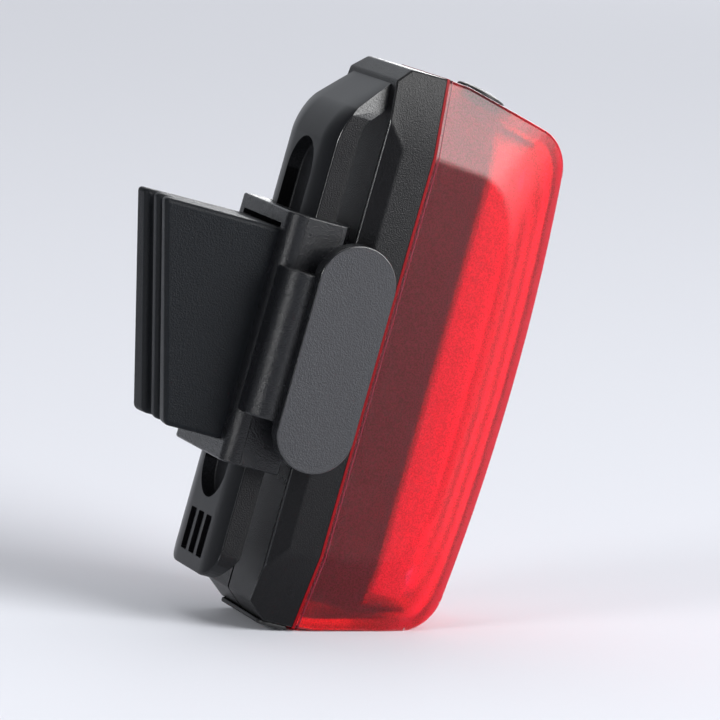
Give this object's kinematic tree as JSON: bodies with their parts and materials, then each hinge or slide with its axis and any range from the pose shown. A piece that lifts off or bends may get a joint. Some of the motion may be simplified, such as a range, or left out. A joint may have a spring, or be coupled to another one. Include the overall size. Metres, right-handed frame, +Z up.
{
  "type": "bicycle rear light",
  "caption": "Rechargeable bicycle rear light with a red lens, power button, covered charging port, belt clip and slide-on seat post bracket with strap hooks and a wedge pad.",
  "frame": {"origin": "centre of the flat drafted bottom end of the lens, on which the light stands", "axes": "+Z up as the light stands, +X to the light's left when its red face is seen from the front, -Y the way the lens faces"},
  "size_m": [0.0342, 0.0556, 0.0758],
  "materials": {
    "housing": "fine spark-eroded texture",
    "lens": "satin translucent red",
    "seal_rubber": "matte",
    "button_rubber": "satin",
    "switch_plastic": "matte",
    "plunger_plastic": "satin",
    "cover_rubber": "matte",
    "socket_steel": "satin",
    "green_board": "satin solder mask",
    "chip_resin": "matte",
    "pin_brass": "bright",
    "white_board": "satin solder mask",
    "led_resin": "gloss",
    "reflector": "metallised",
    "diffuser": "fluted, clear",
    "frame_plastic": "matte",
    "screw_steel": "zinc plated",
    "cell_foil": "satin foil",
    "foam_tape": "matte",
    "tab_steel": "nickel",
    "bracket": "satin",
    "pad_rubber": "satin"
  },
  "bodies": {
    "bracket": {"bracket": "bracket", "wedge_pad": "pad_rubber"},
    "light": {"housing": "housing", "lens": "lens", "lens_gasket": "seal_rubber", "button_seal": "seal_rubber", "tact_switch": "switch_plastic", "usb_socket": "socket_steel", "usb_tongue": "switch_plastic", "charge_board": "green_board", "driver_chips": "chip_resin", "link_pins": "pin_brass", "led_board": "white_board", "leds": "led_resin", "reflector": "reflector", "diffuser": "diffuser", "inner_frame": "frame_plastic", "board_screws": "screw_steel", "battery": "cell_foil", "battery_tape": "foam_tape", "battery_tabs": "tab_steel"},
    "button": {"power_button": "button_rubber", "switch_plunger": "plunger_plastic"},
    "cover": {"port_cover": "cover_rubber"}
  },
  "joints": [
    {"name": "light_slide", "type": "slide", "parent": "bracket", "child": "light", "axis": [0, -0.225, 0.9744], "range_m": [0, 0.051]},
    {"name": "button_press", "type": "slide", "parent": "light", "child": "button", "axis": [0, 0.4384, -0.8988], "range_m": [0, 0.0005], "stiffness_N_per_m": 3000},
    {"name": "cover_hinge", "type": "hinge", "parent": "light", "child": "cover", "pos_m": [0, 0.00899, 0.00073], "axis": [-1, 0, 0], "range_deg": [0, 85], "stiffness_Nm_per_rad": 0.002}
  ]
}
